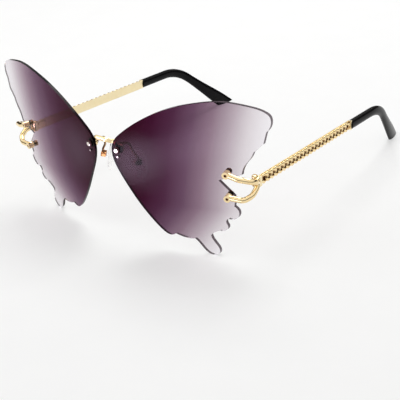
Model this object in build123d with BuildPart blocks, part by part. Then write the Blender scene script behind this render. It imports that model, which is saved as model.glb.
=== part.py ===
from build123d import *
from math import acos, cos, pi, radians, sin, sqrt
import os

# Butterfly sunglasses: two winged lenses, a bridge, two clawed end pieces, chain temples
# X runs to the viewer's right, Y from the lenses back along the temples, Z up from the table
# The right half is modelled and the left half is its mirror image

# Lenses
lens_width = 72.4
lens_height = 72.8
lens_gap = 10.2
lens_radius = 276
lens_wrap = 20.3
lens_thickness = 1.4

# Bridge
screw_edge_distance = 3
bridge_rise = 4.2
bridge_bow = 0.6
bridge_bar_height = 2.1
bridge_bar_depth = 1.5
bridge_pad_radius = 2.1
bridge_pad_thickness = 1

# Bridge fasteners
cap_radius = 1.65
cap_height = 0.95
cap_round_share = 0.9
bridge_shank_radius = 0.65
bridge_washer_thickness = 0.4
bridge_nut_radius = 1.45
bridge_nut_height = 1.2
pin_drop = 3.2
pin_radius = 0.45
pin_head_radius = 0.6
pin_head_height = 0.4

# End pieces
rod_radius = 1.25
eye_radius = 1.55
fork_reach = 10
fork_depth = 10.7
root_width = 2.7
root_height = 3.7
root_round_share = 0.4
root_run = 2.4

# Prong fasteners
prong_shank_radius = 0.6
prong_screw_recess = 0.7
prong_head_radius = 1.35
prong_head_height = 1
prong_washer_thickness = 0.3
slot_width = 0.35
slot_depth = 0.35

# Temples
temple_length = 78
temple_height = 4.4
temple_drop_angle = 3.5
temple_toe_angle = 1.25
strip_thickness = 0.5
head_length = 1.5
band_length = 1.2
core_radius = 0.7
core_length = 12

# Chain
link_wire = 1.2
link_pitch_wanted = 3.3
link_corners = 8
link_bend_share = 0.6
flat_share = 0.45

# Hinges
barrel_radius = 1.4
barrel_inset = 0.4
barrel_setback = 0.6
knuckle_height = 1.2
hinge_shank_radius = 0.55
hinge_head_height = 1.3
hinge_head_round_share = 0.7
leaf_thickness = 0.6
leaf_length = 6
leaf_height = 2.6

# Ear tips
tip_reach = 59.5
tip_inset = 9.6
tip_straight_share = 0.49
tip_bend_share = 0.46
tip_waist_height = 4.7
tip_paddle_height = 7.8
tip_thickness = 3.1

# Nose pads
pad_width = 7.6
pad_height = 14
pad_thickness = 1.9
pad_set = 2.1
pad_shift = 1.2
pad_fillet = 0.6
pad_splay_angle = 31
pad_flare_angle = 12
arm_radius = 0.5
arm_back = 6.7
arm_out = 4.3
arm_down = 11.2
box_width = 3
box_height = 2.2
box_wall = 0.6
box_depth = 2.2
tab_length = 0.8
arm_lead_length = 1.3
arm_solder = 0.35
pad_shank_radius = 0.4
pad_head_radius = 0.75
pad_head_height = 0.4

# Clearances and the overrun of every cut
seat_gap = 0.02
running_gap = 0.05
side_gap = 0.1
turn_gap = 0.15
overrun = 1

# Alignment of a cylinder or box that stands on its place
seated = (Align.CENTER, Align.CENTER, Align.MIN)

# The lens outline, as shares of its width from the nose and of its height from the table
brow_shares = [
    (0.36, 0.12), (0.305, 0.108), (0.277, 0.128), (0.232, 0.178), (0.145, 0.3), (0.07, 0.43),
    (0.018, 0.535), (0, 0.617), (0.02, 0.69), (0.07, 0.742), (0.23, 0.852), (0.41, 0.937),
    (0.575, 0.981), (0.738, 1), (0.87, 0.983), (0.963, 0.955), (0.993, 0.93), (1, 0.9), (0.975, 0.843),
]
wave_shares = [
    [(0.975, 0.843), (0.965, 0.805), (0.957, 0.772)],
    [(0.957, 0.772), (0.935, 0.752), (0.9, 0.717)],
    [(0.9, 0.717), (0.887, 0.688), (0.868, 0.662)],
    [(0.868, 0.662), (0.843, 0.625), (0.828, 0.577)],
]
notch_shares = [(0.828, 0.577), (0.69, 0.53), (0.773, 0.438)]
lobe_shares = [
    [(0.773, 0.438), (0.772, 0.402), (0.765, 0.367)],
    [(0.765, 0.367), (0.785, 0.307), (0.768, 0.285), (0.72, 0.279)],
    [(0.72, 0.279), (0.704, 0.262), (0.706, 0.24)],
    [(0.706, 0.24), (0.706, 0.208), (0.685, 0.19), (0.655, 0.187)],
    [(0.655, 0.187), (0.62, 0.17), (0.594, 0.147)],
    [(0.594, 0.147), (0.61, 0.095), (0.63, 0.042), (0.617, 0.01), (0.587, 0), (0.558, 0.008),
     (0.534, 0.033), (0.513, 0.068), (0.484, 0.105)],
    [(0.484, 0.105), (0.45, 0.1), (0.415, 0.103), (0.36, 0.12)],
]
screw_height_share = 0.637
upper_prong_shares = (0.746, 0.581)
lower_prong_shares = (0.742, 0.433)

# Corners of the claw's two arms from their eyes to the root: outward, back and down as shares of
# the claw's reach, depth and drop, with the bend radius at each corner as a share of the drop
upper_arm_shares = [(0.51, 0.1, 0.15), (1, 0.33, 0.24), (1, 0.6, 0.38), (0.78, 1, 0.57)]
upper_bend_shares = [0.55, 0.23, 0.37]
lower_arm_shares = [(0.68, 0.16, 1.03), (0.95, 0.38, 0.86), (0.95, 0.68, 0.68), (0.78, 1, 0.59)]
lower_bend_shares = [0.37, 0.28, 0.37]
butt_shares = (0.735, 1.105, 0.61)

# Corners of the bridge's centre line: outward from the middle, up, and forward
bridge_shares = [(0.76, 0.58, 0), (0.36, 1, 1)]
bridge_bend_shares = [0.25, 0.2]

# Sections of the ear tip's leg: place from the bend to the table, height from waist to paddle,
# and thickness
leg_shares = [(0.28, 0, 1), (0.45, 0.2, 1), (0.62, 0.5, 1), (0.8, 0.84, 0.98), (1, 1, 0.94), (1.15, 1, 0.9)]

# Corners of the pad arm: outward, back and down as shares of its spans, and its bends
arm_shares = [(0.28, 0.84, 0.2), (0.5, 0.95, 0.6)]
arm_bend_shares = [0.14, 0.2, 0.07]

# Shared places
screw_x = lens_gap / 2 + screw_edge_distance
screw_z = lens_height * screw_height_share
sphere_y = sqrt(lens_radius**2 - (screw_x + lens_wrap) ** 2)
sphere_centre = (-lens_wrap, sphere_y, screw_z)
lens_depth = lens_width


def on_lens(shares):
    """X and Z of a place on the right lens."""
    across, up = shares
    return lens_gap / 2 + lens_width * across, lens_height * up


def seat(x, z):
    """The plane that touches the right lens's front face at X and Z, facing forward."""
    across = x + lens_wrap
    up = z - screw_z
    deep = sqrt(lens_radius**2 - across**2 - up**2)
    return Plane(origin=(x, sphere_y - deep, z), x_dir=(deep, across, 0), z_dir=(across, -deep, up))


def at(plane, x, y, z):
    """A point given in a plane's own axes."""
    return plane.from_local_coords(Vector(x, y, z))


def facing(origin, way, aim):
    """The plane square to a direction, its own x as near as possible to another."""
    way = Vector(*way).normalized()
    aim = Vector(*aim)
    return Plane(origin=origin, x_dir=aim - way * aim.dot(way), z_dir=way)


bridge_seat = seat(screw_x, screw_z)
upper_seat = seat(*on_lens(upper_prong_shares))
lower_seat = seat(*on_lens(lower_prong_shares))
lens_back = lens_thickness + seat_gap

# Lens
bridge_hole_radius = bridge_shank_radius + running_gap
pin_hole_radius = pin_radius + running_gap
prong_hole_radius = prong_shank_radius + running_gap
pin_seat = seat(screw_x, screw_z - pin_drop)

with BuildPart() as lens:
    with BuildSketch(Plane.XZ) as wing:
        with BuildLine():
            Spline(*[on_lens(share) for share in brow_shares])
            for wave in wave_shares:
                Spline(*[on_lens(share) for share in wave])
            Polyline(*[on_lens(share) for share in notch_shares])
            for lobe in lobe_shares:
                Spline(*[on_lens(share) for share in lobe])
        make_face()
    extrude(amount=lens_depth, both=True)
    with Locations(sphere_centre):
        Sphere(radius=lens_radius, mode=Mode.INTERSECT)
        Sphere(radius=lens_radius - lens_thickness, mode=Mode.SUBTRACT)
    for hole_seat, hole_radius in (
        (bridge_seat, bridge_hole_radius),
        (pin_seat, pin_hole_radius),
        (upper_seat, prong_hole_radius),
        (lower_seat, prong_hole_radius),
    ):
        with BuildSketch(hole_seat):
            Circle(radius=hole_radius)
        extrude(amount=lens_thickness + overrun, both=True, mode=Mode.SUBTRACT)

# Bridge: a bowed bar with a pad behind each lens
bridge_pad_plane = bridge_seat.offset(-lens_back - bridge_washer_thickness)
bar_end = at(bridge_seat, 0, 0, -lens_back - bridge_washer_thickness - bridge_pad_thickness / 2)
bar_front = -bridge_bow


def on_bridge(shares):
    """A point of the bridge's centre line."""
    out, up, forward = shares
    back = bar_end.Y + (bar_front - bar_end.Y) * forward
    return (bar_end.X * out, back, bar_end.Z + bridge_rise * up)


with BuildPart() as bridge:
    with BuildLine() as bridge_line:
        FilletPolyline(
            bar_end,
            *[on_bridge(share) for share in bridge_shares],
            on_bridge((0, 1, 1)),
            radius=[bar_end.X * share for share in bridge_bend_shares],
        )
    with BuildSketch(facing(bridge_line.line @ 0, bridge_line.line % 0, (0, 1, 0))):
        RectangleRounded(bridge_bar_depth, bridge_bar_height, bridge_bar_depth / 3)
    sweep(path=bridge_line.line)
    with BuildSketch(bridge_pad_plane):
        Circle(radius=bridge_pad_radius)
    extrude(amount=-bridge_pad_thickness)
    with BuildSketch(bridge_pad_plane.offset(overrun)):
        Circle(radius=bridge_pad_radius + bridge_bar_height)
    extrude(amount=-overrun, mode=Mode.SUBTRACT)
    with BuildSketch(bridge_pad_plane.offset(-bridge_pad_thickness)):
        Circle(radius=bridge_nut_radius + side_gap)
    extrude(amount=-bridge_bar_depth, mode=Mode.SUBTRACT)
    with BuildSketch(bridge_pad_plane.offset(overrun)):
        Circle(radius=bridge_hole_radius)
    extrude(amount=-bridge_pad_thickness - 2 * overrun, mode=Mode.SUBTRACT)
    mirror(about=Plane.YZ)

# Bridge fasteners
nut_plane = bridge_pad_plane.offset(-bridge_pad_thickness)
bridge_stack = lens_back + bridge_washer_thickness + bridge_pad_thickness

with BuildPart() as bridge_screw:
    with BuildSketch(bridge_seat.offset(seat_gap)):
        Circle(radius=cap_radius)
    extrude(amount=cap_height)
    cap_top = bridge_screw.faces().sort_by(Axis((0, 0, 0), bridge_seat.z_dir))[-1]
    fillet(cap_top.edges(), cap_height * cap_round_share)
    with BuildSketch(bridge_seat.offset(seat_gap)):
        Circle(radius=bridge_shank_radius)
    extrude(amount=-bridge_stack - bridge_nut_height)

with BuildPart() as bridge_pin:
    with BuildSketch(pin_seat.offset(seat_gap)):
        Circle(radius=pin_head_radius)
    extrude(amount=pin_head_height)
    fillet(bridge_pin.faces().sort_by(Axis((0, 0, 0), pin_seat.z_dir))[-1].edges(), pin_head_height / 2)
    with BuildSketch(pin_seat.offset(seat_gap)):
        Circle(radius=pin_radius)
    extrude(amount=-lens_thickness)

with BuildPart() as bridge_washer:
    with BuildSketch(bridge_seat.offset(-lens_back)):
        Circle(radius=bridge_pad_radius)
        Circle(radius=bridge_hole_radius, mode=Mode.SUBTRACT)
    extrude(amount=-bridge_washer_thickness)

with BuildPart() as bridge_nut:
    with BuildSketch(nut_plane):
        RegularPolygon(radius=bridge_nut_radius, side_count=6)
        Circle(radius=bridge_hole_radius, mode=Mode.SUBTRACT)
    extrude(amount=-bridge_nut_height)

# End piece: a claw of two bent arms with an eye at each end, a root and two knuckles
eye_height = 2 * (rod_radius + side_gap)
rod_height = seat_gap + eye_height / 2
upper_eye = at(upper_seat, 0, 0, rod_height)
lower_eye = at(lower_seat, 0, 0, rod_height)
claw_drop = upper_eye.Z - lower_eye.Z


def on_claw(shares):
    """A point of the claw, from shares of its reach, depth and drop."""
    out, back, down = shares
    return upper_eye + Vector(fork_reach * out, fork_depth * back, -claw_drop * down)


butt_centre = on_claw(butt_shares)
toe = radians(temple_toe_angle)
drop = radians(temple_drop_angle)
temple_way = Vector(-sin(toe) * cos(drop), cos(toe) * cos(drop), -sin(drop))
temple_out = Vector(cos(toe), sin(toe), 0)
temple_plane = Plane(origin=butt_centre, x_dir=temple_way, z_dir=temple_out)

# The temple's thickness is its strip and the chain's crossing wires, which are pressed flat
half_pitch_gap = link_wire + side_gap
chain_run = temple_length - head_length - band_length
link_count = round(chain_run / link_pitch_wanted)
link_pitch = (chain_run - 2 * link_wire - side_gap) / link_count
link_long = (link_pitch + half_pitch_gap) / 2
link_high = (temple_height - link_wire) / 2
crossing = acos(link_pitch / 2 / link_long)
link_lift = flat_share * half_pitch_gap / 2 / sin(2 * crossing) + side_gap / 2
wire_thickness = flat_share * link_wire
chain_thickness = 2 * link_lift + wire_thickness
temple_thickness = strip_thickness + chain_thickness
temple_inner = -temple_thickness / 2

pivot = at(temple_plane, -barrel_setback, 0, temple_inner - barrel_inset)
barrel_height = 3 * knuckle_height
hinge_hole_radius = hinge_shank_radius + running_gap


def hinge_disc(low, high, radius, mode=Mode.ADD):
    """A cylinder round the hinge's axis between two heights."""
    with Locations(Location((pivot.X, pivot.Y, pivot.Z + low))):
        Cylinder(radius=radius, height=high - low, align=seated, mode=mode)


butt_plane = Plane(origin=butt_centre, x_dir=temple_out, z_dir=temple_way)

with BuildPart() as end_piece:
    for eye, arm_corners, bends in (
        (upper_eye, upper_arm_shares, upper_bend_shares),
        (lower_eye, lower_arm_shares, lower_bend_shares),
    ):
        with BuildLine() as claw_line:
            FilletPolyline(
                eye,
                *[on_claw(share) for share in arm_corners],
                radius=[claw_drop * share for share in bends],
            )
        with BuildSketch(Plane(origin=claw_line.line @ 0, z_dir=claw_line.line % 0)):
            Circle(radius=rod_radius)
        sweep(path=claw_line.line)
    for eye_seat in (upper_seat, lower_seat):
        with BuildSketch(eye_seat.offset(seat_gap)):
            Circle(radius=eye_radius)
        extrude(amount=eye_height)
        with BuildSketch(eye_seat.offset(-overrun)):
            Circle(radius=prong_hole_radius)
        extrude(amount=eye_height + 2 * overrun, mode=Mode.SUBTRACT)
    with BuildSketch(butt_plane.offset(-root_run)):
        RectangleRounded(root_width, root_height, root_width * root_round_share)
    with BuildSketch(butt_plane.offset(-side_gap)):
        RectangleRounded(temple_thickness, temple_height, temple_thickness * root_round_share)
    loft()
    hinge_disc(-barrel_height / 2, barrel_height / 2, barrel_radius)
    hinge_disc(-knuckle_height / 2 - side_gap, knuckle_height / 2 + side_gap, barrel_radius + turn_gap, Mode.SUBTRACT)
    hinge_disc(barrel_height / 2, barrel_height, barrel_radius + turn_gap, Mode.SUBTRACT)
    hinge_disc(-barrel_height, barrel_height, hinge_hole_radius, Mode.SUBTRACT)

# Prong fasteners: heads and washers behind the lens, shanks that end inside the eyes
with BuildPart() as prong_screws:
    for eye_seat in (upper_seat, lower_seat):
        head_plane = eye_seat.offset(-lens_back - prong_washer_thickness)
        with BuildSketch(head_plane):
            Circle(radius=prong_head_radius)
        extrude(amount=-prong_head_height)
        with BuildSketch(head_plane.offset(-prong_head_height)):
            Rectangle(2 * prong_head_radius + overrun, slot_width)
        extrude(amount=slot_depth, mode=Mode.SUBTRACT)
        with BuildSketch(head_plane):
            Circle(radius=prong_shank_radius)
        extrude(amount=lens_back + prong_washer_thickness + eye_height - prong_screw_recess)

with BuildPart() as prong_washers:
    for eye_seat in (upper_seat, lower_seat):
        with BuildSketch(eye_seat.offset(-lens_back)):
            Circle(radius=prong_head_radius)
            Circle(radius=prong_hole_radius, mode=Mode.SUBTRACT)
        extrude(amount=-prong_washer_thickness)

# Hinge screw: a round head on top, a slot, and a shank down through three knuckles
with BuildPart() as hinge_screw:
    hinge_disc(-barrel_height / 2, barrel_height / 2 + hinge_head_height / 2, hinge_shank_radius)
    hinge_disc(barrel_height / 2 + seat_gap, barrel_height / 2 + hinge_head_height, barrel_radius)
    fillet(hinge_screw.faces().sort_by(Axis.Z)[-1].edges(), hinge_head_height * hinge_head_round_share)
    with Locations(Location((pivot.X, pivot.Y, pivot.Z + barrel_height / 2 + hinge_head_height - slot_depth))):
        Box(2 * barrel_radius, slot_width, slot_depth + overrun, align=seated, mode=Mode.SUBTRACT)

# Hinge leaf: the middle knuckle and its plate on the temple's inner face
with BuildPart() as hinge_leaf:
    hinge_disc(-knuckle_height / 2, knuckle_height / 2, barrel_radius)
    with BuildSketch(temple_plane.offset(temple_inner)):
        with Locations((-barrel_setback, 0)):
            Rectangle(leaf_length + barrel_setback, knuckle_height, align=(Align.MIN, Align.CENTER))
        with Locations((barrel_radius + turn_gap, 0)):
            Rectangle(leaf_length - barrel_radius - turn_gap, leaf_height, align=(Align.MIN, Align.CENTER))
    extrude(amount=-leaf_thickness)
    hinge_disc(-knuckle_height, knuckle_height, hinge_hole_radius, Mode.SUBTRACT)

# Temple: a strip with a head block, an end band and the core wire
strip_plane = temple_plane.offset(temple_inner)
with BuildPart() as temple:
    with BuildSketch(strip_plane):
        Rectangle(temple_length, temple_height, align=(Align.MIN, Align.CENTER))
    extrude(amount=strip_thickness)
    with BuildSketch(strip_plane):
        Rectangle(head_length, temple_height, align=(Align.MIN, Align.CENTER))
        with Locations((temple_length - band_length, 0)):
            Rectangle(band_length, temple_height, align=(Align.MIN, Align.CENTER))
    extrude(amount=temple_thickness)
    with BuildSketch(facing(at(temple_plane, temple_length, 0, 0), temple_way, temple_out)):
        Circle(radius=core_radius)
    extrude(amount=core_length)
    hinge_disc(-temple_height, temple_height, barrel_radius + turn_gap, Mode.SUBTRACT)

# One link of the curb chain: a ring of flattened wire whose long sides are twisted, bent through
# an even number of corners
def link_place(step):
    """A corner of a link's centre line, set out so that the runs between corners touch the ring."""
    turn = 2 * pi * (step + 1 / 2) / link_corners
    grow = 1 / cos(pi / link_corners)
    lift = link_lift * sin(2 * turn) / cos(2 * pi / link_corners)
    return Vector(link_long * grow * cos(turn), link_high * grow * sin(turn), lift)


half_corners = link_corners // 2
with BuildPart() as link:
    for first in (0, half_corners):
        corners = [link_place(first + step) for step in range(-1, half_corners + 1)]
        half_start = (corners[0] + corners[1]) / 2
        half_end = (corners[-2] + corners[-1]) / 2
        with BuildLine() as half_line:
            FilletPolyline(half_start, *corners[1:-1], half_end, radius=link_high * link_bend_share)
        with BuildSketch(facing(half_line.line @ 0, half_line.line % 0, (0, 0, 1))):
            Ellipse(wire_thickness / 2, link_wire / 2)
        sweep(path=half_line.line)

# The chain along the strip, each link copied to its place
chain_plane = temple_plane.offset(temple_inner + strip_thickness + seat_gap + chain_thickness / 2)
first_link = head_length + link_wire + side_gap / 2 + link_pitch / 2
temple_chain = Compound(
    children=[
        link.part.moved(chain_plane.location * Location((first_link + step * link_pitch, 0, 0)))
        for step in range(link_count)
    ]
)

# Ear tip: a sleeve over the core wire, straight at first, then bent down and inward, and cut off
# flat where it stands on the table
tip_start = at(temple_plane, temple_length + seat_gap, 0, 0)
tip_corner = tip_start + temple_way * tip_reach * tip_straight_share
tip_end = tip_start + Vector(-tip_inset, tip_reach, -tip_start.Z)
leg = tip_end - tip_corner
leg_way = leg.normalized()
bend_axis = Axis((0, 0, 0), temple_way.cross(leg_way))
leg_out = temple_out.rotate(bend_axis, temple_way.get_angle(leg_way))
tip_waist = tip_corner + leg * leg_shares[0][0]


def leg_section(shares):
    """The plane, thickness and height of the ear tip's leg at a place along it."""
    place, paddle, thick = shares
    height = tip_waist_height + (tip_paddle_height - tip_waist_height) * paddle
    plane = Plane(origin=tip_corner + leg * place, x_dir=leg_out, z_dir=leg_way)
    return plane, tip_thickness * thick, height


with BuildPart() as ear_tip:
    with BuildLine() as tip_line:
        FilletPolyline(tip_start, tip_corner, tip_waist, radius=tip_reach * tip_bend_share)
    with BuildSketch(facing(tip_start, temple_way, temple_out)):
        Ellipse(tip_thickness / 2, tip_waist_height / 2)
    sweep(path=tip_line.line)
    for shares in leg_shares:
        section_plane, section_thickness, section_height = leg_section(shares)
        with BuildSketch(section_plane):
            Ellipse(section_thickness / 2, section_height / 2)
    loft()
    with BuildSketch():
        with Locations((tip_end.X, tip_end.Y)):
            Rectangle(tip_reach, tip_reach)
    extrude(amount=-tip_reach, mode=Mode.SUBTRACT)
    with BuildSketch(facing(at(temple_plane, temple_length, 0, 0), temple_way, temple_out)):
        Circle(radius=core_radius + running_gap)
    extrude(amount=core_length + side_gap, mode=Mode.SUBTRACT)

# Nose pad: its plane faces the nose, and its own x runs back along the pad
bar_corner = Vector(*on_bridge(bridge_shares[0]))
arm_start = bar_corner + Vector(0, bridge_bar_depth / 2 + arm_solder, -bridge_bar_height / 3)
box_centre = arm_start + Vector(arm_out, arm_back, -arm_down)
splay = radians(pad_splay_angle)
flare = radians(pad_flare_angle)
pad_out = Vector(cos(splay) * cos(flare), -sin(splay) * cos(flare), sin(flare))
pad_plane = facing(box_centre, pad_out, (sin(splay), cos(splay), 0))
cheek_inner = box_width / 2 - box_wall
box_floor = box_depth - tab_length

with BuildPart() as pad_box:
    with BuildSketch(pad_plane.offset(-tab_length)):
        RectangleRounded(box_width, box_height, box_wall / 2)
    extrude(amount=box_depth)
    with BuildSketch(pad_plane.offset(-tab_length - overrun)):
        Rectangle(2 * cheek_inner, box_height + overrun)
    extrude(amount=box_depth + overrun - box_wall, mode=Mode.SUBTRACT)
    with BuildSketch(Plane(origin=box_centre, x_dir=pad_plane.y_dir, z_dir=pad_plane.x_dir)):
        Circle(radius=pad_shank_radius + running_gap)
    extrude(amount=box_width, both=True, mode=Mode.SUBTRACT)

arm_end = at(pad_plane, 0, box_height / 2, box_floor - box_wall)
arm_lead = at(pad_plane, 0, box_height / 2 + arm_lead_length, box_floor - box_wall)


def on_arm(shares):
    """A point of the pad arm's centre line."""
    out, back, down = shares
    span = arm_end - arm_start
    return arm_start + Vector(span.X * out, span.Y * back, span.Z * down)


with BuildPart() as pad_arm:
    with BuildLine() as arm_line:
        FilletPolyline(
            arm_start,
            *[on_arm(share) for share in arm_shares],
            arm_lead,
            arm_end,
            radius=[arm_down * share for share in arm_bend_shares],
        )
    with BuildSketch(Plane(origin=arm_line.line @ 0, z_dir=arm_line.line % 0)):
        Circle(radius=arm_radius)
    sweep(path=arm_line.line)

screw_plane = Plane(origin=box_centre, x_dir=pad_plane.y_dir, z_dir=pad_plane.x_dir)
with BuildPart() as pad_screw:
    with BuildSketch(screw_plane.offset(-box_width / 2 - pad_head_height)):
        Circle(radius=pad_shank_radius)
    extrude(amount=box_width + pad_head_height)
    with BuildSketch(screw_plane.offset(-box_width / 2 - seat_gap)):
        Circle(radius=pad_head_radius)
    extrude(amount=-pad_head_height)

with BuildPart() as nose_pad:
    with BuildSketch(pad_plane.offset(-pad_set)):
        with Locations((pad_shift, -pad_shift)):
            Ellipse(pad_width / 2, pad_height / 2)
    extrude(amount=-pad_thickness)
    fillet(nose_pad.edges(), pad_fillet)
    with BuildSketch(screw_plane.offset(-cheek_inner + side_gap)):
        Circle(radius=tab_length)
        with Locations((0, -(pad_set + pad_fillet) / 2)):
            Rectangle(2 * tab_length, pad_set + pad_fillet)
    extrude(amount=2 * (cheek_inner - side_gap))
    with BuildSketch(screw_plane):
        Circle(radius=pad_shank_radius + running_gap)
    extrude(amount=box_width, both=True, mode=Mode.SUBTRACT)

# Every piece, mirrored to the left and set down with the origin under its middle
right_pieces = {
    "lens": lens.part,
    "bridge_screw": bridge_screw.part,
    "bridge_pin": bridge_pin.part,
    "bridge_washer": bridge_washer.part,
    "bridge_nut": bridge_nut.part,
    "end_piece": end_piece.part,
    "prong_screws": prong_screws.part,
    "prong_washers": prong_washers.part,
    "hinge_screw": hinge_screw.part,
    "hinge_leaf": hinge_leaf.part,
    "temple": temple.part,
    "temple_chain": temple_chain,
    "ear_tip": ear_tip.part,
    "pad_arm": pad_arm.part,
    "pad_box": pad_box.part,
    "pad_screw": pad_screw.part,
    "nose_pad": nose_pad.part,
}
boxes = [piece.bounding_box() for piece in (*right_pieces.values(), bridge.part)]
front_end = min(box.min.Y for box in boxes)
back_end = max(box.max.Y for box in boxes)
lowest = min(box.min.Z for box in boxes)
stand = Location((0, -(front_end + back_end) / 2, -lowest))

os.makedirs("parts", exist_ok=True)
bridge_piece = bridge.part.moved(stand)
bridge_piece.label = "bridge"
export_step(bridge_piece, "parts/bridge.step")
for name, piece in right_pieces.items():
    right_piece = piece.moved(stand)
    right_piece.label = name + "_right"
    export_step(right_piece, "parts/" + right_piece.label + ".step")
    mirrored = [solid.mirror(Plane.YZ).moved(stand) for solid in piece.solids()]
    left_piece = Compound(children=mirrored) if len(mirrored) > 1 else mirrored[0]
    left_piece.label = name + "_left"
    export_step(left_piece, "parts/" + left_piece.label + ".step")

# The joints' places
stand_shift = stand.position
for name, place in (("temple hinge", pivot), ("nose pad screw", box_centre), ("bridge screw", bridge_seat.origin)):
    print(name, place + stand_shift)
print("nose pad axis", pad_plane.x_dir)
print("lowest by piece", {name: round(piece.bounding_box().min.Z - lowest, 2) for name, piece in right_pieces.items()})
print("front and back", front_end, back_end)
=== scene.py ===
from math import cos, pi, radians, sin

import bpy
from mathutils import Matrix, Vector


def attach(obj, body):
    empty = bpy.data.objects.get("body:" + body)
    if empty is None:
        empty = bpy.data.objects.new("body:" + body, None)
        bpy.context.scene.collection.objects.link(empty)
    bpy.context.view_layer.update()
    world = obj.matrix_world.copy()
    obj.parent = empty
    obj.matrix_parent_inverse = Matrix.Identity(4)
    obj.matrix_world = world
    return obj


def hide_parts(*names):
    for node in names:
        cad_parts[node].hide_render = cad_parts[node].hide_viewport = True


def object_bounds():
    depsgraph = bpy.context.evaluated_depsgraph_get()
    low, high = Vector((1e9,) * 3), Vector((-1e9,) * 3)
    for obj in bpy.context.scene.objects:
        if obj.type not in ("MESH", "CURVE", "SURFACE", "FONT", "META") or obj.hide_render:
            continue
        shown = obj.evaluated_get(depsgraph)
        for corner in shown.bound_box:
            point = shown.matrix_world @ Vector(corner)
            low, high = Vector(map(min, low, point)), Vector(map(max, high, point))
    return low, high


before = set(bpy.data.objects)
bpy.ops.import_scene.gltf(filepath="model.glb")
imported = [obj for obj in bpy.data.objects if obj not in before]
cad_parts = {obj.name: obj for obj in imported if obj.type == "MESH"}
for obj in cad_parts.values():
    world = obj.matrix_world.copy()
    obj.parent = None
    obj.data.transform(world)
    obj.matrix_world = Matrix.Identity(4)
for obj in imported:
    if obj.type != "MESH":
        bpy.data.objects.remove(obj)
cad_low, cad_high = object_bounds()

# Driving sizes of the right temple and its chain, in metres, as in the part's source
temple_start = Vector((0.0668545, -0.0603515, 0.0356716))
temple_drop = radians(3.5)
temple_toe = radians(1.25)
temple_length = 0.078
temple_height = 0.0044
strip_thickness = 0.0005
head_length = 0.0015
band_length = 0.0012
link_wire = 0.0012
flat_share = 0.45
link_count = 23
side_gap = 0.0001
seat_gap = 0.00002

# Steps round a link's ring and round its wire
ring_steps = 56
wire_steps = 14
turn_step = 0.01

# The link's wire is ground flat where it stands proud of this share of its height
ground_share = 0.86

# Sizes that follow from them
half_pitch_gap = link_wire + side_gap
chain_run = temple_length - head_length - band_length
link_pitch = (chain_run - 2 * link_wire - side_gap) / link_count
link_long = (link_pitch + half_pitch_gap) / 2
link_high = (temple_height - link_wire) / 2
crossing_cos = link_pitch / 2 / link_long
crossing_sin = (1 - crossing_cos ** 2) ** 0.5
link_lift = flat_share * half_pitch_gap / 2 / (2 * crossing_cos * crossing_sin) + side_gap / 2
chain_thickness = 2 * link_lift + flat_share * link_wire
temple_thickness = strip_thickness + chain_thickness
chain_out = -temple_thickness / 2 + strip_thickness + seat_gap + chain_thickness / 2
proud = ground_share * chain_thickness / 2


def temple_frame(side):
    """The temple's start and its directions along, up and outwards, on the right (1) or left (-1)."""
    way = Vector((-sin(temple_toe) * cos(temple_drop), cos(temple_toe) * cos(temple_drop), -sin(temple_drop)))
    out = Vector((cos(temple_toe), sin(temple_toe), 0.0))
    up = out.cross(way)
    mirror = Matrix.Diagonal((side, 1.0, 1.0))
    return mirror @ temple_start, mirror @ way, mirror @ up, mirror @ out


# Tools for node materials
def new_material(name):
    """A node material, its tree and its shader."""
    material = bpy.data.materials.new(name)
    material.use_nodes = True
    tree = material.node_tree
    return material, tree, tree.nodes["Principled BSDF"]


def node(tree, kind, **values):
    """Adds a node; values go to its properties."""
    made = tree.nodes.new(kind)
    for key, value in values.items():
        setattr(made, key, value)
    return made


def feed(tree, sockets, values):
    """Links each socket to a node's output, or sets it to a fixed value."""
    for socket, value in zip(sockets, values):
        if isinstance(value, bpy.types.NodeSocket):
            tree.links.new(value, socket)
        else:
            socket.default_value = value


def set_shader(tree, shader, **values):
    """Sets or links the shader's sockets, with _ for the spaces in their names."""
    for name, value in values.items():
        feed(tree, [shader.inputs[name.replace("_", " ")]], [value])


def object_place(tree):
    """Object coordinates: metres in the shared frame with the part at rest."""
    return node(tree, "ShaderNodeTexCoord").outputs["Object"]


def object_normal(tree):
    """The surface's normal in the same directions."""
    return node(tree, "ShaderNodeTexCoord").outputs["Normal"]


def math(tree, operation, *values):
    """A maths node on sockets or numbers."""
    made = node(tree, "ShaderNodeMath", operation=operation)
    feed(tree, made.inputs, values)
    return made.outputs["Value"]


def vector_math(tree, operation, *values):
    """A vector maths node on sockets or fixed vectors."""
    made = node(tree, "ShaderNodeVectorMath", operation=operation)
    feed(tree, made.inputs, values)
    return made.outputs["Value" if operation in ("DOT_PRODUCT", "DISTANCE") else "Vector"]


def blend(tree, factor, first, second):
    """Mixes two colours by a factor from 0 to 1."""
    made = node(tree, "ShaderNodeMix", data_type="RGBA")
    colours = [socket for socket in made.inputs if socket.type == "RGBA"]
    feed(tree, [made.inputs["Factor"], *colours], (factor, first, second))
    return [socket for socket in made.outputs if socket.type == "RGBA"][0]


def noise(tree, place, scale, detail=4.0, rough=0.55):
    """Noise of that scale per metre."""
    made = node(tree, "ShaderNodeTexNoise")
    sockets = [made.inputs[name] for name in ("Vector", "Scale", "Detail", "Roughness")]
    feed(tree, sockets, (place, scale, detail, rough))
    return made.outputs["Fac"]


def ramp(tree, factor, stops):
    """A colour ramp of (position, colour) stops."""
    made = node(tree, "ShaderNodeValToRGB")
    elements = made.color_ramp.elements
    while len(elements) < len(stops):
        elements.new(0.5)
    for element, (position, colour) in zip(elements, stops):
        element.position = position
        element.color = (*colour, 1.0)
    tree.links.new(factor, made.inputs["Fac"])
    return made.outputs["Color"]


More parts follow.
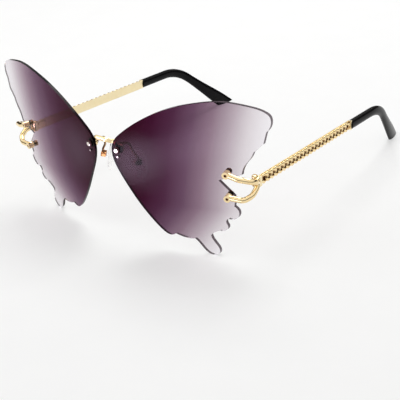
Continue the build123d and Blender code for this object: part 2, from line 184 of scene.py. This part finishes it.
def map_range(tree, value, from_low, from_high, to_low, to_high):
    """Maps one range of numbers to another."""
    made = node(tree, "ShaderNodeMapRange")
    sockets = [made.inputs[name] for name in ("Value", "From Min", "From Max", "To Min", "To Max")]
    feed(tree, sockets, (value, from_low, from_high, to_low, to_high))
    return made.outputs["Result"]


def remap(tree, factor, low, high):
    """Maps 0..1 to low..high."""
    return map_range(tree, factor, 0.0, 1.0, low, high)


def fade(tree, value, low, high):
    """One up to low, falling to nothing at high."""
    return map_range(tree, value, low, high, 1.0, 0.0)


def split(tree, vector):
    """The vector's X, Y and Z."""
    made = node(tree, "ShaderNodeSeparateXYZ")
    tree.links.new(vector, made.inputs[0])
    return made.outputs["X"], made.outputs["Y"], made.outputs["Z"]


def join(tree, x, y, z):
    """A vector of X, Y and Z."""
    made = node(tree, "ShaderNodeCombineXYZ")
    feed(tree, made.inputs, (x, y, z))
    return made.outputs["Vector"]


def side_sign(tree, place):
    """One on the right-hand side and minus one on the left."""
    return math(tree, "SIGN", split(tree, place)[0])


def folded(tree, vector, sides):
    """The vector turned to the right-hand side, as the left side mirrors the right."""
    x, y, z = split(tree, vector)
    return join(tree, math(tree, "MULTIPLY", x, sides), y, z)


def paint_over(material, factor, colour):
    """Mixes a colour over the base colour that is there, by that factor."""
    tree = material.node_tree
    shader = tree.nodes["Principled BSDF"]
    found = shader.inputs["Base Color"].links[0].from_socket
    set_shader(tree, shader, Base_Color=blend(tree, factor, found, (*colour, 1.0)))


def bump(tree, shader, height, distance, strength):
    """Bumps the shader's normal by that height."""
    made = node(tree, "ShaderNodeBump")
    sockets = [made.inputs[name] for name in ("Height", "Distance", "Strength")]
    feed(tree, sockets, (height, distance, strength))
    tree.links.new(made.outputs["Normal"], shader.inputs["Normal"])


def linear(*levels):
    """An sRGB colour of 0-255 levels as the linear colour that a node takes."""
    shares = [level / 255 for level in levels]
    return tuple(v / 12.92 if v <= 0.04045 else ((v + 0.055) / 1.055) ** 2.4 for v in shares)


# Tinted lens: wine at the nose and brow, fading to near clear at the outer edge and the foot
tint_start = 0.006
tint_reach = 0.074
tint_slope = 0.22
tint_level = 0.0464
tint_wander = 0.0012
foot_height = 0.024
foot_slope = 0.6
tint_stops = [
    (0.0, (44, 0, 16)),
    (0.12, (50, 2, 26)),
    (0.24, (60, 14, 42)),
    (0.36, (78, 40, 66)),
    (0.48, (106, 76, 99)),
    (0.59, (142, 117, 134)),
    (0.70, (184, 169, 179)),
    (0.80, (222, 215, 220)),
    (0.90, (242, 239, 243)),
    (1.0, (250, 248, 252)),
]
lens_glass, tree, shader = new_material("lens_glass")
place = object_place(tree)
x, y, z = split(tree, place)
across = math(tree, "ABSOLUTE", x)
rise = math(tree, "MULTIPLY", math(tree, "SUBTRACT", z, tint_level), tint_slope)
foot = math(tree, "MAXIMUM", math(tree, "SUBTRACT", foot_height, z), 0.0)
along = math(tree, "SUBTRACT", math(tree, "SUBTRACT", across, rise), tint_start)
along = math(tree, "ADD", along, math(tree, "MULTIPLY", foot, foot_slope))
wander = remap(tree, noise(tree, place, 18, 2.0), -tint_wander, tint_wander)
along = math(tree, "DIVIDE", math(tree, "ADD", along, wander), tint_reach)
tint = ramp(tree, along, [(position, linear(*levels)) for position, levels in tint_stops])

# The tint thins out a little in front of the nose pads, so that their arms show through
window_middle = (0.0185, 0.0, 0.0415)
window_fade = (0.004, 0.016)
window_tint = (77, 52, 68)
window_away = vector_math(tree, "DISTANCE", join(tree, across, 0.0, z), window_middle)
window = fade(tree, window_away, *window_fade)
tint = blend(tree, window, tint, (*linear(*window_tint), 1.0))

# Painted shade: the ground rim is tinted near black, darker than the tint beside it, for the dark lines that
# light makes along the lens's edge; the rim is where the skin isn't square to the lens's sphere
sphere_centre = (-0.0203, 0.193435, 0.0464)
face_lean = 0.7
rim_shade_stops = [(0.0, (6, 0, 2)), (0.5, (16, 8, 12)), (0.8, (40, 32, 36)), (1.0, (70, 62, 66))]
sides = side_sign(tree, place)
radius = vector_math(tree, "SUBTRACT", folded(tree, place, sides), sphere_centre)
radius = vector_math(tree, "NORMALIZE", radius)
lean = vector_math(tree, "DOT_PRODUCT", radius, folded(tree, object_normal(tree), sides))
face = math(tree, "GREATER_THAN", math(tree, "ABSOLUTE", lean), face_lean)
rim_shade_tint = ramp(tree, along, [(position, linear(*levels)) for position, levels in rim_shade_stops])

# Clear inside, with a thin soft coat for the broad reflections
set_shader(
    tree, shader,
    Base_Color=blend(tree, face, rim_shade_tint, tint),
    Transmission_Weight=1.0,
    IOR=1.12,
    Specular_Tint=(0.0, 0.0, 0.0, 1.0),
    Coat_Weight=0.6,
    Coat_IOR=1.12,
    Coat_Roughness=0.165,
    Roughness=remap(tree, noise(tree, place, 60), 0.0, 0.02),
)


def metal_material(name, light, dark, low, high, marks_depth):
    """Polished metal with faint colour drift, handling marks and a soft bump."""
    material, tree, shader = new_material(name)
    place = object_place(tree)
    drift = noise(tree, place, 420, 3.0)
    stretch = node(tree, "ShaderNodeMapping")
    stretch.inputs["Scale"].default_value = (1.0, 0.12, 1.0)
    tree.links.new(place, stretch.inputs["Vector"])
    marks = noise(tree, stretch.outputs["Vector"], 2600, 2.0, 0.7)
    set_shader(
        tree, shader,
        Base_Color=ramp(tree, drift, [(0.3, dark), (0.7, light)]),
        Metallic=1.0,
        Roughness=remap(tree, marks, low, high),
    )
    bump(tree, shader, marks, 0.00001, marks_depth)
    return material


# Each metal's light and dark colour, lowest and highest roughness, and depth of marks
metal_looks = {
    "champagne_gold": ((0.95, 0.78, 0.47), (0.91, 0.70, 0.38), 0.08, 0.15, 0.06),
    "chain_gold": ((0.98, 0.80, 0.47), (0.94, 0.71, 0.36), 0.08, 0.15, 0.06),
    "strip_gold": ((0.98, 0.85, 0.56), (0.95, 0.80, 0.49), 0.3, 0.42, 0.1),
    # Painted shade: the next two are darker copies of the gold, for the pad boxes, pad screws and pad arms in
    # shade behind the lenses
    "shaded_deep_gold": ((0.62, 0.32, 0.13), (0.48, 0.22, 0.08), 0.12, 0.22, 0.08),
    "shaded_arm_gold": ((0.46, 0.27, 0.13), (0.34, 0.19, 0.085), 0.14, 0.24, 0.08),
    "brown_metal": ((0.20, 0.09, 0.055), (0.11, 0.045, 0.025), 0.2, 0.34, 0.15),
    "screw_steel": ((0.80, 0.76, 0.72), (0.72, 0.66, 0.60), 0.12, 0.2, 0.06),
    "pin_steel": ((0.50, 0.46, 0.46), (0.42, 0.38, 0.38), 0.12, 0.2, 0.06),
}
metals = {name: metal_material(name, *look) for name, look in metal_looks.items()}

# Painted highlight and shade: the bridge screws and pins keep their bright colour on the crown alone, out to
# the first distance, and are painted dark past the second
highlight_crowns = {
    "screw_steel": ((0.0081, -0.0819, 0.0464), 0.0008, 0.001),
    "pin_steel": ((0.0081, -0.0814, 0.0432), 0.0003, 0.00045),
}
# Painted shade round the highlight on the screw and pin heads
painted_shade_dark = (0.07, 0.035, 0.04)
for name, (crown, highlight_reach, shade_reach) in highlight_crowns.items():
    tree = metals[name].node_tree
    place = object_place(tree)
    away = vector_math(tree, "DISTANCE", folded(tree, place, side_sign(tree, place)), crown)
    painted_highlight = fade(tree, away, highlight_reach, shade_reach)
    paint_over(metals[name], math(tree, "SUBTRACT", 1.0, painted_highlight), painted_shade_dark)


def temple_offsets(tree):
    """How far a place is outwards from the temple's middle plane, and up or down from its centre line."""
    start, _, up, out = temple_frame(1)
    place = object_place(tree)
    place = folded(tree, place, side_sign(tree, place))
    depth = math(tree, "SUBTRACT", vector_math(tree, "DOT_PRODUCT", place, out), start.dot(out))
    rise = math(tree, "SUBTRACT", vector_math(tree, "DOT_PRODUCT", place, up), start.dot(up))
    return depth, math(tree, "ABSOLUTE", rise)


# Painted shade in the links' gaps: brown, deep down and away from the chain's upper and lower edges
painted_gap_shade = (0.42, 0.22, 0.085)
tree = metals["chain_gold"].node_tree
depth, off_middle = temple_offsets(tree)
sunken = fade(tree, depth, chain_out - proud * 0.3, chain_out + proud * 0.8)
inner = fade(tree, off_middle, link_high * 0.75, link_high)
paint_over(metals["chain_gold"], math(tree, "MULTIPLY", sunken, inner), painted_gap_shade)

# Painted shade: the strip is painted brown where the chain covers it, and stays pale on its inner face
covered_lean = 0.6
tree = metals["strip_gold"].node_tree
depth, off_middle = temple_offsets(tree)
skin = folded(tree, object_normal(tree), side_sign(tree, object_place(tree)))
lean = vector_math(tree, "DOT_PRODUCT", skin, temple_frame(1)[3])
covered = math(tree, "GREATER_THAN", lean, covered_lean)
covered = math(tree, "MULTIPLY", covered, math(tree, "LESS_THAN", depth, 0.0))
covered = math(tree, "MULTIPLY", covered, math(tree, "LESS_THAN", off_middle, link_high))
paint_over(metals["strip_gold"], covered, painted_gap_shade)

# Gloss black ear tips: deep black with fine orange peel and rubbed patches
black_tip, tree, shader = new_material("black_tip")
place = object_place(tree)
rub = noise(tree, place, 220)
set_shader(
    tree, shader,
    Base_Color=ramp(tree, rub, [(0.35, (0.002, 0.002, 0.0025)), (0.75, (0.006, 0.0055, 0.006))]),
    Roughness=remap(tree, rub, 0.12, 0.24),
    Specular_IOR_Level=0.08,
    Coat_Weight=0.03,
    Coat_Roughness=0.08,
)
bump(tree, shader, noise(tree, place, 900, 3.0), 0.00003, 0.12)

# Clear plastic washers, faintly warm and slightly hazy
clear_plastic, tree, shader = new_material("clear_plastic")
haze = noise(tree, object_place(tree), 500, 3.0)
set_shader(
    tree, shader,
    Base_Color=ramp(tree, haze, [(0.3, (0.93, 0.91, 0.88)), (0.7, (0.98, 0.97, 0.95))]),
    Transmission_Weight=0.95,
    IOR=1.46,
    Roughness=remap(tree, haze, 0.05, 0.2),
)

# Clear silicone nose pads: soft, with a fine moulded skin
silicone, tree, shader = new_material("clear_silicone")
place = object_place(tree)
milk = noise(tree, place, 320, 3.0)
set_shader(
    tree, shader,
    Base_Color=ramp(tree, milk, [(0.3, (0.95, 0.94, 0.93)), (0.7, (0.99, 0.985, 0.98))]),
    Transmission_Weight=1.0,
    IOR=1.12,
    Roughness=remap(tree, milk, 0.02, 0.06),
)
bump(tree, shader, noise(tree, place, 1600, 2.0), 0.00001, 0.1)

# Every CAD node's finish, for both sides
finishes = {
    "lens": lens_glass,
    "bridge": metals["champagne_gold"],
    "bridge_screw": metals["screw_steel"],
    "bridge_pin": metals["pin_steel"],
    "bridge_washer": clear_plastic,
    "bridge_nut": metals["brown_metal"],
    "end_piece": metals["champagne_gold"],
    "prong_screws": metals["brown_metal"],
    "prong_washers": clear_plastic,
    "hinge_screw": metals["champagne_gold"],
    "hinge_leaf": metals["champagne_gold"],
    "temple": metals["strip_gold"],
    "temple_chain": metals["chain_gold"],
    "ear_tip": black_tip,
    "pad_box": metals["shaded_deep_gold"],
    "pad_arm": metals["shaded_arm_gold"],
    "pad_screw": metals["shaded_deep_gold"],
    "nose_pad": silicone,
}
for name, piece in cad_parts.items():
    finish = finishes[name.removesuffix("_left").removesuffix("_right")]
    if not piece.material_slots:
        piece.data.materials.append(finish)
    for held in piece.material_slots:
        held.material = finish


# The curb chains: twisted rings of ground wire, side by side along each temple
def ring_point(turn):
    """The link's centre line, as (along, up, out)."""
    return Vector((link_long * cos(turn), link_high * sin(turn), link_lift * sin(2 * turn)))


def ring_vertices():
    """The skin of one link: wire round the centre line, ground flat inside and out."""
    points = []
    for step in range(ring_steps):
        turn = 2 * pi * step / ring_steps
        centre = ring_point(turn)
        ahead = (ring_point(turn + turn_step) - ring_point(turn - turn_step)).normalized()
        radial = Vector((centre.x / link_long ** 2, centre.y / link_high ** 2, 0.0)).normalized()
        radial = (radial - ahead * radial.dot(ahead)).normalized()
        other = ahead.cross(radial)
        for around in range(wire_steps):
            angle = 2 * pi * around / wire_steps
            skin = centre + (radial * cos(angle) + other * sin(angle) * flat_share) * link_wire / 2
            skin.z = max(-proud, min(proud, skin.z))
            points.append(skin)
    return points


def chain_object(side, name):
    """All links of one temple as one mesh."""
    start, way, up, out = temple_frame(side)
    ring = ring_vertices()
    vertices, faces = [], []
    for link in range(link_count):
        first = head_length + link_wire + side_gap / 2 + link_pitch / 2 + link * link_pitch
        base = len(vertices)
        for skin in ring:
            vertices.append(start + way * (first + skin.x) + up * skin.y + out * (chain_out + skin.z))
        for step in range(ring_steps):
            after = (step + 1) % ring_steps
            for around in range(wire_steps):
                beside = (around + 1) % wire_steps
                corners = [
                    base + step * wire_steps + around,
                    base + after * wire_steps + around,
                    base + after * wire_steps + beside,
                    base + step * wire_steps + beside,
                ]
                faces.append(corners if side > 0 else corners[::-1])
    mesh = bpy.data.meshes.new(name)
    mesh.from_pydata(vertices, [], faces)
    mesh.validate()
    mesh.shade_smooth()
    piece = bpy.data.objects.new(name, mesh)
    bpy.context.scene.collection.objects.link(piece)
    mesh.materials.append(metals["chain_gold"])
    return piece


for side, word in ((1, "right"), (-1, "left")):
    chain = chain_object(side, f"curb_chain_{word}")
    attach(chain, f"temple_{word}")
    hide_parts(f"temple_chain_{word}")

# Pale floor, half lit by its own light where it's seen, so that it looks white and keeps part of the shadow
floor_reach = 3.0
floor_whiteness = 0.5
floor_corners = ((-1, -1), (1, -1), (1, 1), (-1, 1))
mesh = bpy.data.meshes.new("floor")
mesh.from_pydata([(x * floor_reach, y * floor_reach, 0.0) for x, y in floor_corners], [], [(0, 1, 2, 3)])
floor = bpy.data.objects.new("floor", mesh)
bpy.context.scene.collection.objects.link(floor)
floor_paint, tree, shader = new_material("floor_paint")
grain = noise(tree, object_place(tree), 40, 3.0)
set_shader(
    tree, shader,
    Base_Color=ramp(tree, grain, [(0.3, (0.86, 0.86, 0.855)), (0.7, (0.88, 0.88, 0.875))]),
    Roughness=0.9,
    Specular_IOR_Level=0.1,
)
path = node(tree, "ShaderNodeLightPath")
seen = math(tree, "MAXIMUM", path.outputs["Is Camera Ray"], path.outputs["Is Glossy Ray"])
seen = math(tree, "MAXIMUM", seen, path.outputs["Is Transmission Ray"])
glow = node(tree, "ShaderNodeEmission")
glow.inputs["Color"].default_value = (0.99, 0.99, 0.985, 1.0)
mixer = node(tree, "ShaderNodeMixShader")
whiteness = math(tree, "MULTIPLY", seen, floor_whiteness)
feed(tree, mixer.inputs, (whiteness, shader.outputs["BSDF"], glow.outputs["Emission"]))
tree.links.new(mixer.outputs["Shader"], tree.nodes["Material Output"].inputs["Surface"])
mesh.materials.append(floor_paint)

# World: even soft light, white where it's seen, and darker at the horizon in reflections so that metal has form
sky_stops = [
    (0.0, (0.80, 0.79, 0.77)),
    (0.46, (0.22, 0.19, 0.16)),
    (0.51, (0.05, 0.04, 0.03)),
    (0.60, (0.05, 0.04, 0.03)),
    (0.68, (0.70, 0.69, 0.67)),
    (0.76, (1.0, 1.0, 1.0)),
]
plain_light = (0.5, 0.5, 0.5, 1.0)
seen_white = (1.0, 1.0, 1.0, 1.0)
world = bpy.data.worlds.new("studio")
bpy.context.scene.world = world
world.use_nodes = True
tree = world.node_tree
direction = node(tree, "ShaderNodeTexCoord").outputs["Generated"]
height = math(tree, "ADD", math(tree, "MULTIPLY", split(tree, direction)[2], 0.5), 0.5)
path = node(tree, "ShaderNodeLightPath")
light = blend(tree, path.outputs["Is Glossy Ray"], plain_light, ramp(tree, height, sky_stops))
clear = math(tree, "MAXIMUM", path.outputs["Is Camera Ray"], path.outputs["Is Transmission Ray"])
background = tree.nodes["Background"]
tree.links.new(blend(tree, clear, light, seen_white), background.inputs["Color"])
background.inputs["Strength"].default_value = 1.0


def softbox(name, place, aim, width, height, power):
    """An area light that faces aim."""
    lamp = bpy.data.lights.new(name, "AREA")
    lamp.shape = "RECTANGLE"
    lamp.size = width
    lamp.size_y = height
    lamp.energy = power
    light = bpy.data.objects.new(name, lamp)
    light.location = place
    light.rotation_euler = (Vector(aim) - Vector(place)).to_track_quat("-Z", "Y").to_euler()
    bpy.context.scene.collection.objects.link(light)
    light.visible_camera = False
    return light


# Each soft lamp's place from the part's middle, width, height and power
middle = (cad_low + cad_high) / 2
softbox("key", middle + Vector((-0.15, 0.35, 0.8)), middle, 0.5, 0.5, 5.0)
softbox("fill", middle + Vector((-0.55, -0.45, 0.5)), middle, 0.5, 0.4, 1.2)

# Low strips in front that only glossy surfaces show: the soft light band across the lenses
strip_start = Vector((-0.016, -0.115, 0.001))
strip_end = Vector((0.062, -0.206, 0.001))
strip_way = (strip_end - strip_start).normalized()
strip_side = Vector((strip_way.y, -strip_way.x, 0.0))
strip_reach = 0.17
strip_step = Vector((0.0, 0.0, 0.0005))
strip_colour = (1.0, 0.86, 1.12)
strip_turn = Matrix((strip_way, -strip_side, Vector((0, 0, -1)))).transposed().to_euler()
# Each strip's near edge, width and power, from the widest up to the narrowest
strips = ((0.002, 0.078, 0.14), (0.012, 0.058, 0.09), (0.020, 0.036, 0.05))
for count, (near, width, power) in enumerate(strips):
    place = (strip_start + strip_end) / 2 + strip_side * (near + width / 2) + strip_step * count
    strip = softbox(f"band_{count}", place, place + Vector((0, 0, 1)), strip_reach, width, power)
    strip.rotation_euler = strip_turn
    strip.data.color = strip_colour
    strip.visible_diffuse = False
    strip.visible_transmission = False

# Camera at the photograph's place and angle
camera_place = Vector((0.28523, -0.3559179, 0.21585))
camera_right = Vector((0.78742695, 0.61010287, -0.0879391))
camera_up = Vector((-0.21628303, 0.40705693, 0.88742679))
camera_back = Vector((0.57721785, -0.67976404, 0.45248249))
lens_data = bpy.data.cameras.new("camera")
lens_data.sensor_width = 36.0
lens_data.lens = 88.76
lens_data.clip_start = 0.01
camera = bpy.data.objects.new("camera", lens_data)
axes = Matrix((camera_right, camera_up, camera_back)).transposed().to_4x4()
camera.matrix_world = Matrix.Translation(camera_place) @ axes
bpy.context.scene.collection.objects.link(camera)
bpy.context.scene.camera = camera
bpy.context.scene.view_settings.view_transform = "Standard"
